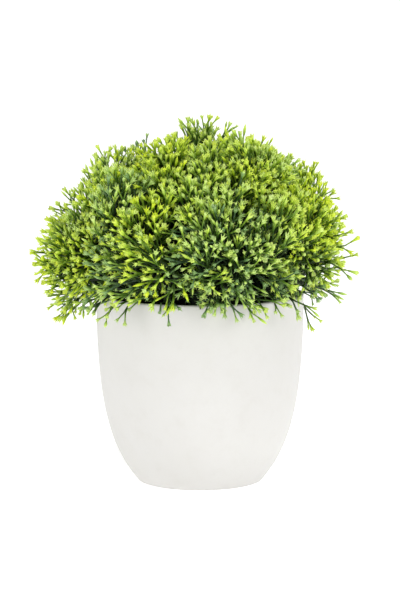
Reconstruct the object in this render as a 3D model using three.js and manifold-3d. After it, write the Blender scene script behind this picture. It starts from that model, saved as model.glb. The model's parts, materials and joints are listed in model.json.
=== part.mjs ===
// A small artificial shrub in a round-bottomed white pot. Millimetres, +Z up.
// The origin is the centre of the flat base that the pot stands on.
//
// The pot holds a plaster ballast. A black liner cup drops into the pot and carries everything
// else: foam, a dark top dressing, and a post with three socket collars. Each branch is a curved
// stem that sits in a socket, with a spray of forked twigs pushed over its outer end.

import * as THREE from "three";
import { mergeVertices } from "three/addons/utils/BufferGeometryUtils.js";
import Module from "manifold-3d";

const wasm = await Module();
wasm.setup();

const UP = new THREE.Vector3(0, 1, 0);
const DEGREE = Math.PI / 180;

// ---------------------------------------------------------------- driving dimensions

const SEAT_GAP = 0.3; // between two pieces that rest on each other
const SLIP_GAP = 0.6; // round a piece that slides in or out, or that leans in its socket

const POT = {
  rimRadius: 64,
  height: 116,
  footRadius: 38.7,
  wall: 2.6,
  floor: 4,
  rimRound: 0.8,
  straightLip: 3, // upright stretch under the rim
  footLean: 0.62, // how far the foot's curve handle leans out, as a share of rim less foot
  footRise: 0.16, // the same handle's height, as a share of the pot's height
  bellyDrop: 0.605, // how far down the rim's curve handle reaches, as a share of the height
  curveSteps: 9,
  sides: 40,
};

const BALLAST = { thickness: 19, sides: 24 };
const LINER = { wall: 1.6, floor: 2, lipBelowRim: 4, lipWidth: 1.8, lipHeight: 2.4, sides: 32 };
const FOAM = { belowRim: 17, sides: 24 };
const DRESSING = { thickness: 4, sides: 24 };

const WIRE = { radius: 2, aboveRim: 26, sides: 8 };
const POST = { radius: 5, shoulderRadius: 7.5, depthInFoam: 60, aboveCollars: 8, sides: 16 };

const COLLAR = {
  firstSocketAboveRim: 12, // height of the lowest ring of sockets
  height: 10,
  radius: 9,
  bossReach: 14.5, // distance from the axis to the mouth of each socket
  bossRadius: 3.1,
  socketDepth: 6,
  sides: 18,
  bossSides: 6,
};

const STEM = { radius: 1.4, sides: 5, steps: 7, straightEnd: 9 };

const SLEEVE = { wall: 0.9, depth: 8, sides: 6 };

const TWIG = {
  spineRadius: 1.7,
  spineTipRadius: 1,
  footRadius: 1,
  radius: 0.8,
  budRadius: 1.4,
  budLength: 5,
  overlap: 1, // how far joined shapes reach into each other
  forkAt: 0.55, // where a twig forks, as a share of its length
  forkAngle: 22 * DEGREE,
  sides: 4,
};

const FOLIAGE = {
  overhang: 41, // how far the dome reaches past the rim
  centreAboveRim: 12,
  sprayStart: 50, // distance from the dome's centre to where a spray begins
};

// One entry for each ring of branches. Angles are elevations above the horizontal, and spreads
// are half-angles of the fan of twigs, sideways and upwards, seen from where the spray begins.
const RINGS = [
  { name: "low", count: 9, turn: 4, elevation: -12, spreadSide: 31, spreadUp: 27 },
  { name: "middle", count: 8, turn: 20, elevation: 28, spreadSide: 28, spreadUp: 22 },
  { name: "upper", count: 5, turn: 52, elevation: 58, spreadSide: 25, spreadUp: 21 },
];
const LOW_SPRAY_INSIDE_RIM = 6; // the low sprays begin this far inside the rim
const LOW_SPRAY_LIFT = 2.5; // and this far above the dome's centre, so that they clear the rim
const TOP_SPREAD = 20;

// Twigs in a spray: share of the spine where each grows, place round the spine in turns, and
// how far out it leans as a share of the spread.
const TWIGS = [
  { at: 0.3, round: 0.05, lean: 1 },
  { at: 0.4, round: 0.45, lean: 1 },
  { at: 0.5, round: 0.75, lean: 1 },
  { at: 0.75, round: 0.25, lean: 0.95 },
  { at: 0.95, round: 0.6, lean: 0.15 },
];
const SPINE_SHARE = 0.42; // length of a spray's spine, as a share of the spray's length
const LENGTH_WOBBLE = 4; // neighbouring sprays differ in length by up to this
const TURN_WOBBLE = 1.5 * DEGREE;

// ---------------------------------------------------------------- heights and radii that follow

const rimZ = POT.height;
const ballastLow = POT.floor + SEAT_GAP;
const ballastHigh = ballastLow + BALLAST.thickness;
const linerLow = ballastHigh + SEAT_GAP;
const linerHigh = rimZ - LINER.lipBelowRim;
const foamLow = linerLow + LINER.floor + SEAT_GAP;
const foamHigh = rimZ - FOAM.belowRim;
const dressingLow = foamHigh + SEAT_GAP;
const dressingHigh = dressingLow + DRESSING.thickness;

const firstCollarLow = rimZ + COLLAR.firstSocketAboveRim - COLLAR.height / 2;
const collarPitch = COLLAR.height + SEAT_GAP;
const postHigh = firstCollarLow + RINGS.length * collarPitch + POST.aboveCollars;
const postLow = foamHigh - POST.depthInFoam;
const postShoulder = firstCollarLow - SEAT_GAP;
const wireHigh = rimZ + WIRE.aboveRim;
const wireLow = postLow;

const socketRadius = STEM.radius + SLIP_GAP;
const sleeveBore = STEM.radius + SEAT_GAP;
const sleeveRadius = sleeveBore + SLEEVE.wall;

const domeRadius = POT.rimRadius + FOLIAGE.overhang;
const domeCentreZ = rimZ + FOLIAGE.centreAboveRim;

// ---------------------------------------------------------------- shape helpers

/** Turns (radius, height) points about Z into a solid of revolution. */
function revolve(points, sides) {
  const profile = points.map(([radius, height]) => new THREE.Vector2(radius, height));
  const geometry = new THREE.LatheGeometry(profile, sides);
  geometry.rotateX(Math.PI / 2);
  return geometry;
}

/** A closed mesh as a solid that can be joined and cut. */
function solidOf(geometry) {
  const bare = geometry.clone();
  bare.deleteAttribute("normal");
  bare.deleteAttribute("uv");
  const merged = mergeVertices(bare, 1e-4);
  const vertProperties = new Float32Array(merged.attributes.position.array);
  const triVerts = new Uint32Array(merged.index.array);
  const mesh = new wasm.Mesh({ numProp: 3, vertProperties, triVerts });
  return new wasm.Manifold(mesh);
}

/** The mesh of a joined or cut solid. */
function geometryOf(solid) {
  const mesh = solid.getMesh();
  const geometry = new THREE.BufferGeometry();
  geometry.setAttribute("position", new THREE.BufferAttribute(mesh.vertProperties, 3));
  geometry.setIndex(new THREE.BufferAttribute(mesh.triVerts, 1));
  geometry.computeVertexNormals();
  return geometry;
}

/** Joins closed meshes into one. */
function join(geometries) {
  const [first, ...rest] = geometries.map(solidOf);
  return rest.reduce((whole, solid) => whole.add(solid), first);
}

/** Turns a shape made along +Y so that it runs from one point towards another. */
function aim(geometry, from, towards) {
  const direction = towards.clone().sub(from).normalize();
  geometry.applyQuaternion(new THREE.Quaternion().setFromUnitVectors(UP, direction));
  geometry.translate(from.x, from.y, from.z);
  return geometry;
}

/** A straight tapered rod between two points. */
function rod(from, to, startRadius, endRadius, sides) {
  const length = from.distanceTo(to);
  const geometry = new THREE.CylinderGeometry(endRadius, startRadius, length, sides);
  geometry.translate(0, length / 2, 0);
  return aim(geometry, from, to);
}

/** A named mesh with its own plain material. */
function part(name, geometry, color, roughness, metalness = 0) {
  const material = new THREE.MeshStandardMaterial({ color, roughness, metalness });
  const mesh = new THREE.Mesh(geometry, material);
  mesh.name = name;
  return mesh;
}

/** A repeatable value between -1 and 1 that differs from one whole number to the next. */
function wobble(index) {
  return Math.sin(index * 2.399 + 0.7);
}

// ---------------------------------------------------------------- the pot's wall as a curve

const wallCurve = new THREE.CubicBezierCurve(
  new THREE.Vector2(POT.footRadius, 0),
  new THREE.Vector2(
    POT.footRadius + POT.footLean * (POT.rimRadius - POT.footRadius),
    POT.footRise * POT.height,
  ),
  new THREE.Vector2(POT.rimRadius, POT.height * (1 - POT.bellyDrop) - POT.straightLip),
  new THREE.Vector2(POT.rimRadius, POT.height - POT.straightLip),
);

/** Points up the pot's wall, moved inwards from its outer face by a depth. */
function wallPoints(depth) {
  const points = [];
  for (let step = 0; step <= POT.curveSteps; step += 1) {
    const share = step / POT.curveSteps;
    const point = wallCurve.getPoint(share);
    const tangent = wallCurve.getTangent(share);
    points.push([point.x - depth * tangent.y, point.y + depth * tangent.x]);
  }
  points.push([POT.rimRadius - depth, POT.height - POT.rimRound]);
  return points;
}

/** The radius of a rising curve of points at one height. */
function radiusAt(points, height) {
  const upper = points.findIndex(([, z]) => z >= height);
  const [lowRadius, lowZ] = points[Math.max(upper - 1, 0)];
  const [highRadius, highZ] = points[Math.max(upper, 1)];
  return lowRadius + ((highRadius - lowRadius) * (height - lowZ)) / (highZ - lowZ);
}

/** The stretch of a rising curve of points between two heights. */
function stretch(points, low, high) {
  const between = points.filter(([, z]) => z > low && z < high);
  return [[radiusAt(points, low), low], ...between, [radiusAt(points, high), high]];
}

// ---------------------------------------------------------------- pot, ballast and liner

function makePot() {
  const innerTop = POT.height - POT.rimRound;
  const inner = stretch(wallPoints(POT.wall), POT.floor, innerTop).reverse();
  const rim = [
    [POT.rimRadius - POT.rimRound, POT.height],
    [POT.rimRadius - POT.wall + POT.rimRound, POT.height],
  ];
  const profile = [[0, 0], ...wallPoints(0), ...rim, ...inner, [0, POT.floor]];
  return part("pot", revolve(profile, POT.sides), 0xf0eee9, 0.62);
}

function makeBallast() {
  const outer = stretch(wallPoints(POT.wall + SEAT_GAP), ballastLow, ballastHigh);
  const profile = [[0, ballastLow], ...outer, [0, ballastHigh]];
  return part("ballast_puck", revolve(profile, BALLAST.sides), 0xb9b4aa, 0.95);
}

// The liner's wall is straight, between two points that clear the pot's curved wall.
const linerFit = wallPoints(POT.wall + SLIP_GAP);
const linerFootRadius = radiusAt(linerFit, linerLow) - SLIP_GAP;
const linerLipRadius = radiusAt(linerFit, linerHigh);
const linerTopRadius = linerLipRadius - LINER.lipWidth;

/** The liner's outer radius at a height. */
function linerRadius(height) {
  const share = (height - linerLow) / (linerHigh - linerLow);
  return linerFootRadius + share * (linerTopRadius - linerFootRadius);
}

/** The radius of what fits inside the liner at a height. */
function insideLiner(height) {
  return linerRadius(height) - LINER.wall - SEAT_GAP;
}

function makeLiner() {
  const lipLow = linerHigh - LINER.lipHeight;
  const floorTop = linerLow + LINER.floor;
  const profile = [
    [0, linerLow],
    [linerRadius(linerLow), linerLow],
    [linerRadius(lipLow), lipLow],
    [linerLipRadius, lipLow],
    [linerLipRadius, linerHigh],
    [linerRadius(linerHigh) - LINER.wall, linerHigh],
    [linerRadius(floorTop) - LINER.wall, floorTop],
    [0, floorTop],
  ];
  return part("liner_cup", revolve(profile, LINER.sides), 0x17151a, 0.55);
}

function makeFoam() {
  const bore = POST.shoulderRadius + SEAT_GAP;
  const boreFloor = postLow - SEAT_GAP;
  const profile = [
    [0, foamLow],
    [insideLiner(foamLow), foamLow],
    [insideLiner(foamHigh), foamHigh],
    [bore, foamHigh],
    [bore, boreFloor],
    [0, boreFloor],
  ];
  return part("foam_core", revolve(profile, FOAM.sides), 0x3b4a35, 0.95);
}

function makeDressing() {
  const bore = POST.shoulderRadius + SEAT_GAP;
  const profile = [
    [bore, dressingLow],
    [insideLiner(dressingLow), dressingLow],
    [insideLiner(dressingHigh), dressingHigh],
    [bore, dressingHigh],
    [bore, dressingLow],
  ];
  return part("soil_dressing", revolve(profile, DRESSING.sides), 0x1c1614, 1);
}

// ---------------------------------------------------------------- post, wire and collars

function makePost() {
  const wireBore = WIRE.radius + SEAT_GAP;
  const boreTop = wireHigh + SEAT_GAP;
  const socketFloor = postHigh - COLLAR.socketDepth;
  const profile = [
    [0, boreTop],
    [wireBore, boreTop],
    [wireBore, postLow],
    [POST.shoulderRadius, postLow],
    [POST.shoulderRadius, postShoulder],
    [POST.radius, postShoulder],
    [POST.radius, postHigh],
    [socketRadius, postHigh],
    [socketRadius, socketFloor],
    [0, socketFloor],
  ];
  return part("trunk_post", revolve(profile, POST.sides), 0x35502f, 0.6);
}

function makeWire() {
  const profile = [
    [0, wireLow],
    [WIRE.radius, wireLow],
    [WIRE.radius, wireHigh],
    [0, wireHigh],
  ];
  return part("trunk_wire", revolve(profile, WIRE.sides), 0x8a8d90, 0.35, 1);
}

/** The height of a ring's sockets. */
function socketZ(ringIndex) {
  return firstCollarLow + ringIndex * collarPitch + COLLAR.height / 2;
}

/** The azimuth of a ring's branch. */
function azimuthOf(ring, ringIndex, index) {
  const even = (index / ring.count) * 2 * Math.PI;
  return even + ring.turn * DEGREE + TURN_WOBBLE * wobble(index + 10 * ringIndex);
}

function makeCollar(ring, ringIndex) {
  const low = firstCollarLow + ringIndex * collarPitch;
  const high = low + COLLAR.height;
  const bore = POST.radius + SEAT_GAP;
  const profile = [
    [bore, low],
    [COLLAR.radius, low],
    [COLLAR.radius, high],
    [bore, high],
    [bore, low],
  ];
  const bosses = [];
  const sockets = [];
  for (let index = 0; index < ring.count; index += 1) {
    const azimuth = azimuthOf(ring, ringIndex, index);
    const outward = new THREE.Vector3(Math.cos(azimuth), Math.sin(azimuth), 0);
    const centre = new THREE.Vector3(0, 0, socketZ(ringIndex));
    const along = (distance) => centre.clone().addScaledVector(outward, distance);
    const root = along(POST.radius + SEAT_GAP + TWIG.overlap);
    const mouth = along(COLLAR.bossReach);
    const floor = along(COLLAR.bossReach - COLLAR.socketDepth);
    const past = along(COLLAR.bossReach + TWIG.overlap);
    const { bossRadius, bossSides } = COLLAR;
    bosses.push(rod(root, mouth, bossRadius, bossRadius, bossSides));
    sockets.push(rod(floor, past, socketRadius, socketRadius, bossSides));
  }
  const solid = join([revolve(profile, COLLAR.sides), ...bosses]).subtract(join(sockets));
  return part(`collar_${ring.name}`, geometryOf(solid), 0x3d5a35, 0.55);
}

// ---------------------------------------------------------------- stems

/** A round stem along a smooth bend, straight where it sits in its socket and in its sleeve. */
function makeStem(name, root, rootDirection, end, endDirection) {
  const afterRoot = root.clone().addScaledVector(rootDirection, STEM.straightEnd);
  const beforeEnd = end.clone().addScaledVector(endDirection, -STEM.straightEnd);
  const reach = afterRoot.distanceTo(beforeEnd) / 3;
  const path = new THREE.CurvePath();
  path.add(new THREE.LineCurve3(root, afterRoot));
  path.add(
    new THREE.CubicBezierCurve3(
      afterRoot,
      afterRoot.clone().addScaledVector(rootDirection, reach),
      beforeEnd.clone().addScaledVector(endDirection, -reach),
      beforeEnd,
    ),
  );
  path.add(new THREE.LineCurve3(beforeEnd, end));
  const corners = [];
  for (let side = 0; side < STEM.sides; side += 1) {
    const angle = (side / STEM.sides) * 2 * Math.PI;
    corners.push(new THREE.Vector2(STEM.radius * Math.cos(angle), STEM.radius * Math.sin(angle)));
  }
  const section = new THREE.Shape(corners);
  const geometry = new THREE.ExtrudeGeometry(section, { steps: STEM.steps, extrudePath: path });
  return part(name, geometry, 0x3f6a3c, 0.55);
}

// ---------------------------------------------------------------- sprays

/** A straight twig that swells to a bud and ends in a point. */
function makeProng(from, towards, footRadius) {
  const length = from.distanceTo(towards);
  const profile = [
    new THREE.Vector2(0, 0),
    new THREE.Vector2(footRadius, 0),
    new THREE.Vector2(TWIG.budRadius, length - TWIG.budLength / 2),
    new THREE.Vector2(0, length),
  ];
  return aim(new THREE.LatheGeometry(profile, TWIG.sides), from, towards);
}

/** A twig from the spine to its tip, and a second prong that leaves it at the fork. */
function makeTwig(from, tip, forkRound) {
  const direction = tip.clone().sub(from).normalize();
  const fork = from.clone().lerp(tip, TWIG.forkAt);
  const aside = new THREE.Vector3(0, Math.cos(forkRound), Math.sin(forkRound));
  aside.addScaledVector(direction, -aside.dot(direction)).normalize();
  const prong = direction.multiplyScalar(Math.cos(TWIG.forkAngle));
  prong.addScaledVector(aside, Math.sin(TWIG.forkAngle));
  const prongTip = fork.clone().addScaledVector(prong, fork.distanceTo(tip));
  return [makeProng(from, tip, TWIG.footRadius), makeProng(fork, prongTip, TWIG.radius)];
}

/** A spray along +X: a sleeve behind the origin, then a spine that carries forked twigs. */
function makeSpray(name, length, spreadSide, spreadUp, roll) {
  const along = (distance) => new THREE.Vector3(distance, 0, 0);
  const spineLength = length * SPINE_SHARE;
  const pieces = [
    rod(along(-SLEEVE.depth), along(TWIG.overlap), sleeveRadius, sleeveRadius, SLEEVE.sides),
    rod(along(0), along(spineLength), TWIG.spineRadius, TWIG.spineTipRadius, SLEEVE.sides),
  ];
  for (const twig of TWIGS) {
    const round = twig.round * 2 * Math.PI + roll;
    const from = along(spineLength * twig.at);
    const side = Math.tan(spreadSide * twig.lean) * Math.cos(round) * length;
    const up = Math.tan(spreadUp * twig.lean) * Math.sin(round) * length;
    const tip = new THREE.Vector3(length, side, up).setLength(length);
    pieces.push(...makeTwig(from, tip, round + Math.PI / 2));
  }
  const bore = rod(along(-SLEEVE.depth - TWIG.overlap), along(0), sleeveBore, sleeveBore, SLEEVE.sides);
  const solid = join(pieces).subtract(solidOf(bore));
  return part(name, geometryOf(solid), 0x8fae45, 0.5);
}

// ---------------------------------------------------------------- branches

/** A stem with its spray, in the plane of +X outwards and +Z up, from a socket's floor. */
function makeBranch(label, root, rootDirection, sprayStart, elevation, length, spreads, roll) {
  const branch = new THREE.Group();
  const direction = new THREE.Vector3(Math.cos(elevation), 0, Math.sin(elevation));
  const end = sprayStart.clone().addScaledVector(direction, -SEAT_GAP);
  branch.add(makeStem(`stem_${label}`, root, rootDirection, end, direction));
  const spray = makeSpray(`spray_${label}`, length, spreads[0], spreads[1], roll);
  spray.position.copy(sprayStart);
  spray.rotation.y = -elevation;
  branch.add(spray);
  return branch;
}

/** Where a ring's spray begins and how long it is, before any difference between branches. */
function sprayPlace(ring) {
  const elevation = ring.elevation * DEGREE;
  if (ring.name === "low") {
    const inside = POT.rimRadius - LOW_SPRAY_INSIDE_RIM;
    const start = new THREE.Vector3(inside, 0, domeCentreZ + LOW_SPRAY_LIFT);
    return { start, length: FOLIAGE.overhang + LOW_SPRAY_INSIDE_RIM };
  }
  const start = new THREE.Vector3(Math.cos(elevation), 0, Math.sin(elevation));
  start.multiplyScalar(FOLIAGE.sprayStart);
  start.z += domeCentreZ;
  return { start, length: domeRadius - FOLIAGE.sprayStart };
}

function makeRing(ring, ringIndex) {
  const branches = [];
  const outward = new THREE.Vector3(1, 0, 0);
  const rootX = COLLAR.bossReach - COLLAR.socketDepth + SEAT_GAP;
  const root = new THREE.Vector3(rootX, 0, socketZ(ringIndex));
  const spreads = [ring.spreadSide * DEGREE, ring.spreadUp * DEGREE];
  const { start, length } = sprayPlace(ring);
  for (let index = 0; index < ring.count; index += 1) {
    const label = `${ring.name}_${index + 1}`;
    const longer = (LENGTH_WOBBLE / 2) * wobble(3 * index + 5 * ringIndex);
    const roll = index * 1.9 + ringIndex;
    const elevation = ring.elevation * DEGREE;
    const branch = makeBranch(label, root, outward, start, elevation, length + longer, spreads, roll);
    branch.rotation.z = azimuthOf(ring, ringIndex, index);
    branches.push(branch);
  }
  return branches;
}

/** The upright branch in the socket at the top of the post. */
function makeTopBranch() {
  const upward = new THREE.Vector3(0, 0, 1);
  const root = new THREE.Vector3(0, 0, postHigh - COLLAR.socketDepth + SEAT_GAP);
  const start = new THREE.Vector3(0, 0, domeCentreZ + FOLIAGE.sprayStart);
  const length = domeRadius - FOLIAGE.sprayStart;
  const spreads = [TOP_SPREAD * DEGREE, TOP_SPREAD * DEGREE];
  return makeBranch("top", root, upward, start, Math.PI / 2, length, spreads, 0);
}

// ---------------------------------------------------------------- the whole object

const group = new THREE.Group();
group.add(makePot(), makeBallast(), makeLiner(), makeFoam(), makeDressing());
group.add(makePost(), makeWire());
RINGS.forEach((ring, ringIndex) => {
  group.add(makeCollar(ring, ringIndex));
  group.add(...makeRing(ring, ringIndex));
});
group.add(makeTopBranch());

export default group;
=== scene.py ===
import json
import math

import bpy
import numpy as np
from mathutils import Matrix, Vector


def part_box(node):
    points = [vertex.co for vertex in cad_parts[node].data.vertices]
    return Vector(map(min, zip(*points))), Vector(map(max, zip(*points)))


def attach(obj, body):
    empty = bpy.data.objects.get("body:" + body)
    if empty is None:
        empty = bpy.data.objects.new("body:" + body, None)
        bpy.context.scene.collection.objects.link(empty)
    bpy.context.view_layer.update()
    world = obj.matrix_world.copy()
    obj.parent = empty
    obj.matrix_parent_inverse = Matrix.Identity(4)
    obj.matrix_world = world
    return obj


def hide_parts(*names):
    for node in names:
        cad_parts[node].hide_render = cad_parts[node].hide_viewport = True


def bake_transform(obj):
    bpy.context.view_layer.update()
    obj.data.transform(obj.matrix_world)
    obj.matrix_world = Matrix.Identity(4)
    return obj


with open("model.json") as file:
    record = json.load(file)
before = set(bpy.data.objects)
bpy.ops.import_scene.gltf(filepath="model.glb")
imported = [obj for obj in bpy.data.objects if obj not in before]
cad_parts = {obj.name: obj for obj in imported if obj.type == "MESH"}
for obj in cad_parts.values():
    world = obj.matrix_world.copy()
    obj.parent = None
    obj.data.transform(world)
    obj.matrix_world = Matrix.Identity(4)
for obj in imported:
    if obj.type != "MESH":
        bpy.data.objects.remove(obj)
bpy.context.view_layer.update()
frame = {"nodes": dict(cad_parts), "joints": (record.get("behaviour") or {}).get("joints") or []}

# A small artificial shrub in a white pot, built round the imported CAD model. Lengths are in metres.
# The CAD sprays and stems are replaced by dense forked foliage that grows from the same sleeves.

MM = 0.001

# ---------------------------------------------------------------- places taken from the frame

NODES = frame["nodes"]
POT_LOW, POT_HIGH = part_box("pot")
RIM_RADIUS = POT_HIGH.x
RIM_Z = POT_HIGH.z
LINER_LOW, LINER_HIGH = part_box("liner_cup")
DRESSING_LOW, DRESSING_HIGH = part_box("soil_dressing")
BALLAST_LOW, BALLAST_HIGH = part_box("ballast_puck")


def corners_of(node):
    """The vertices of a CAD node as an array."""
    return np.array([vertex.co for vertex in NODES[node].data.vertices], float)


def unit(vectors):
    """Vectors scaled to length 1."""
    vectors = np.asarray(vectors, float)
    return vectors / np.maximum(np.linalg.norm(vectors, axis=-1, keepdims=True), 1e-12)


def across(vectors, axes):
    """The unit part of vectors that is square to unit axes."""
    return unit(vectors - axes * np.sum(vectors * axes, axis=-1, keepdims=True))


def add_object(name, data):
    """A new object in the scene."""
    item = bpy.data.objects.new(name, data)
    bpy.context.scene.collection.objects.link(item)
    return item


# ---------------------------------------------------------------- the pot's outline

WALL = 2.6 * MM
POT_FLOOR = 4 * MM
RIM_ROUND = 1.25 * MM
STRAIGHT_LIP = 3 * MM
FOOT_LEAN = 0.62  # the foot handle's reach, as a share of rim radius less foot radius
FOOT_RISE = 0.16  # the foot handle's height, as a share of the pot's height
BELLY_DROP = 0.605  # how far down the rim's handle reaches, as a share of the pot's height
FOOT_ROUND = 1.6 * MM
LATHE_SIDES = 160
LINER_SIDES = 120
HIDDEN_SIDES = 96  # for the ballast and the dressing
ON_AXIS = 1e-7  # a radius that counts as none


def foot_radius():
    """The radius of the CAD pot's flat base."""
    corners = corners_of("pot")
    base = corners[corners[:, 2] < 0.1 * MM]
    return float(np.hypot(base[:, 0], base[:, 1]).max())


def bezier(ends, shares):
    """Points on a cubic curve with four control points."""
    a, b, c, d = (np.asarray(point, float) for point in ends)
    s = np.asarray(shares, float)[:, None]
    return a * (1 - s) ** 3 + 3 * b * s * (1 - s) ** 2 + 3 * c * s**2 * (1 - s) + d * s**3


def wall_outline(depth, steps=48):
    """(radius, height) points up the pot's wall, moved inwards from its outer face by a depth."""
    foot = foot_radius()
    ends = (
        (foot, 0),
        (foot + FOOT_LEAN * (RIM_RADIUS - foot), FOOT_RISE * RIM_Z),
        (RIM_RADIUS, RIM_Z * (1 - BELLY_DROP) - STRAIGHT_LIP),
        (RIM_RADIUS, RIM_Z - STRAIGHT_LIP),
    )
    points = bezier(ends, np.linspace(0, 1, steps))
    slopes = unit(np.gradient(points, axis=0))
    return points + depth * np.stack([-slopes[:, 1], slopes[:, 0]], axis=1)


def arc(centre, radius, start, end, steps):
    """(radius, height) points on an arc, with its angles in degrees."""
    angles = np.radians(np.linspace(start, end, steps))
    return np.asarray(centre) + radius * np.stack([np.cos(angles), np.sin(angles)], axis=1)


def lathe(name, profile, sides=LATHE_SIDES):
    """A surface of revolution about Z. A profile end on the axis closes to a point."""
    profile = np.asarray(profile, float)
    angles = np.arange(sides) * 2 * math.pi / sides
    vertices, rings = [], []
    for radius, height in profile:
        if radius < ON_AXIS:
            rings.append([len(vertices)])
            vertices.append((0, 0, height))
            continue
        rings.append(list(range(len(vertices), len(vertices) + sides)))
        for angle in angles:
            vertices.append((radius * math.cos(angle), radius * math.sin(angle), height))
    faces = []
    for low, high in zip(rings, rings[1:]):
        for side in range(sides):
            after = (side + 1) % sides
            if len(low) == 1:
                faces.append((low[0], high[after], high[side]))
            elif len(high) == 1:
                faces.append((low[side], low[after], high[0]))
            else:
                faces.append((low[side], low[after], high[after], high[side]))
    mesh = bpy.data.meshes.new(name)
    mesh.from_pydata(vertices, [], faces)
    mesh.polygons.foreach_set("use_smooth", [True] * len(faces))
    return add_object(name, mesh)


# ---------------------------------------------------------------- materials


class Shader:
    """A material with one principled shader, and short calls that add nodes to it."""

    def __init__(self, name, roughness, **sockets):
        self.material = bpy.data.materials.new(name)
        self.material.use_nodes = True
        self.tree = self.material.node_tree
        self.surface = self.tree.nodes["Principled BSDF"]
        self.surface.inputs["Roughness"].default_value = roughness
        for socket, value in sockets.items():
            self.surface.inputs[socket.replace("_", " ")].default_value = value

    def node(self, kind, **inputs):
        node = self.tree.nodes.new(kind)
        for socket, value in inputs.items():
            self.join(value, node, socket.replace("_", " "))
        return node

    def join(self, value, node, socket):
        if isinstance(value, bpy.types.NodeSocket):
            self.tree.links.new(value, node.inputs[socket])
        else:
            node.inputs[socket].default_value = value

    def noise(self, scale, detail=4.0, roughness=0.55):
        place = self.node("ShaderNodeTexCoord").outputs["Object"]
        return self.node(
            "ShaderNodeTexNoise", Vector=place, Scale=scale, Detail=detail, Roughness=roughness
        ).outputs["Fac"]

    def ramp(self, factor, *stops):
        """A colour ramp with (position, colour) stops."""
        node = self.node("ShaderNodeValToRGB", Fac=factor)
        elements = node.color_ramp.elements
        while len(elements) < len(stops):
            elements.new(0.5)
        for element, (position, colour) in zip(elements, stops):
            element.position = position
            element.color = (*colour, 1)
        return node.outputs["Color"]

    def mix(self, factor, first, second, blend="MIX"):
        node = self.node("ShaderNodeMix")
        node.data_type = "RGBA"
        node.blend_type = blend
        self.join(factor, node, 0)
        self.join(first, node, 6)
        self.join(second, node, 7)
        return node.outputs[2]

    def scaled(self, value, low, high, start=0.0, end=1.0):
        node = self.node("ShaderNodeMapRange")
        self.join(value, node, "Value")
        limits = {"From Min": start, "From Max": end, "To Min": low, "To Max": high}
        for socket, number in limits.items():
            node.inputs[socket].default_value = number
        return node.outputs["Result"]

    def bump(self, height, distance, strength=1.0):
        node = self.node("ShaderNodeBump", Height=height, Distance=distance, Strength=strength)
        self.tree.links.new(node.outputs["Normal"], self.surface.inputs["Normal"])

    def colour(self, value):
        self.join(value, self.surface, "Base Color")

    def gloss(self, value):
        self.join(value, self.surface, "Roughness")


def pot_material():
    """Matt off-white moulding, with faint cloudy mottling and a fine grain."""
    shader = Shader("pot_matt_white", 0.6)
    clouds = shader.noise(28, 5, 0.6)
    specks = shader.noise(900, 3, 0.7)
    base = shader.ramp(clouds, (0.3, (0.635, 0.624, 0.6)), (0.7, (0.655, 0.646, 0.627)))
    smudges = shader.noise(95, 6, 0.72)
    marks = shader.ramp(smudges, (0.3, (0.975, 0.972, 0.965)), (0.5, (1, 1, 1)))
    shader.colour(shader.mix(1.0, base, marks, "MULTIPLY"))
    shader.gloss(shader.scaled(clouds, 0.52, 0.68, 0.3, 0.7))
    shader.bump(shader.mix(0.35, specks, clouds), 0.12 * MM, 0.6)
    return shader.material


def plastic_material(name, dark, light, roughness, grain=0.05):
    """A satin moulding whose colour drifts a little, with a faint uneven skin."""
    shader = Shader(name, roughness)
    drift = shader.noise(120, 4, 0.6)
    shader.colour(shader.ramp(drift, (0.3, dark), (0.7, light)))
    shader.gloss(shader.scaled(drift, roughness - 0.08, roughness + 0.1, 0.3, 0.7))
    shader.bump(shader.noise(1400, 3, 0.6), grain * MM, 0.5)
    return shader.material


def crumb_material():
    """Dark crumbly dressing."""
    shader = Shader("dark_dressing", 0.95)
    drift = shader.noise(420, 6, 0.75)
    tones = (
        (0.25, (0.006, 0.005, 0.006)),
        (0.55, (0.022, 0.016, 0.014)),
        (0.8, (0.06, 0.042, 0.03)),
    )
    shader.colour(shader.ramp(drift, *tones))
    shader.bump(shader.noise(1500, 5, 0.8), 0.5 * MM, 0.9)
    return shader.material


def plaster_material(name, dark, light, scale):
    """A dry porous casting."""
    shader = Shader(name, 0.92)
    shader.colour(shader.ramp(shader.noise(scale, 6, 0.7), (0.3, dark), (0.75, light)))
    shader.bump(shader.noise(scale * 6, 5, 0.75), 0.4 * MM, 0.8)
    return shader.material


def steel_material():
    """Drawn steel wire with fine lengthwise lines."""
    shader = Shader("drawn_steel", 0.34, Metallic=1.0)
    place = shader.node("ShaderNodeTexCoord").outputs["Object"]
    stretched = shader.node("ShaderNodeMapping", Vector=place)
    stretched.inputs["Scale"].default_value = (4000, 4000, 60)
    along = stretched.outputs["Vector"]
    noise = shader.node("ShaderNodeTexNoise", Vector=along, Scale=1.0, Detail=3.0)
    lines = noise.outputs["Fac"]
    shader.colour(shader.ramp(lines, (0.3, (0.32, 0.32, 0.33)), (0.7, (0.6, 0.6, 0.61))))
    shader.gloss(shader.scaled(lines, 0.25, 0.45, 0.3, 0.7))
    return shader.material


LEAF_MAP = "OFBake"  # u runs from a twig's root to its tip, and v is a random value for each twig, shifted by painted light and shade


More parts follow.
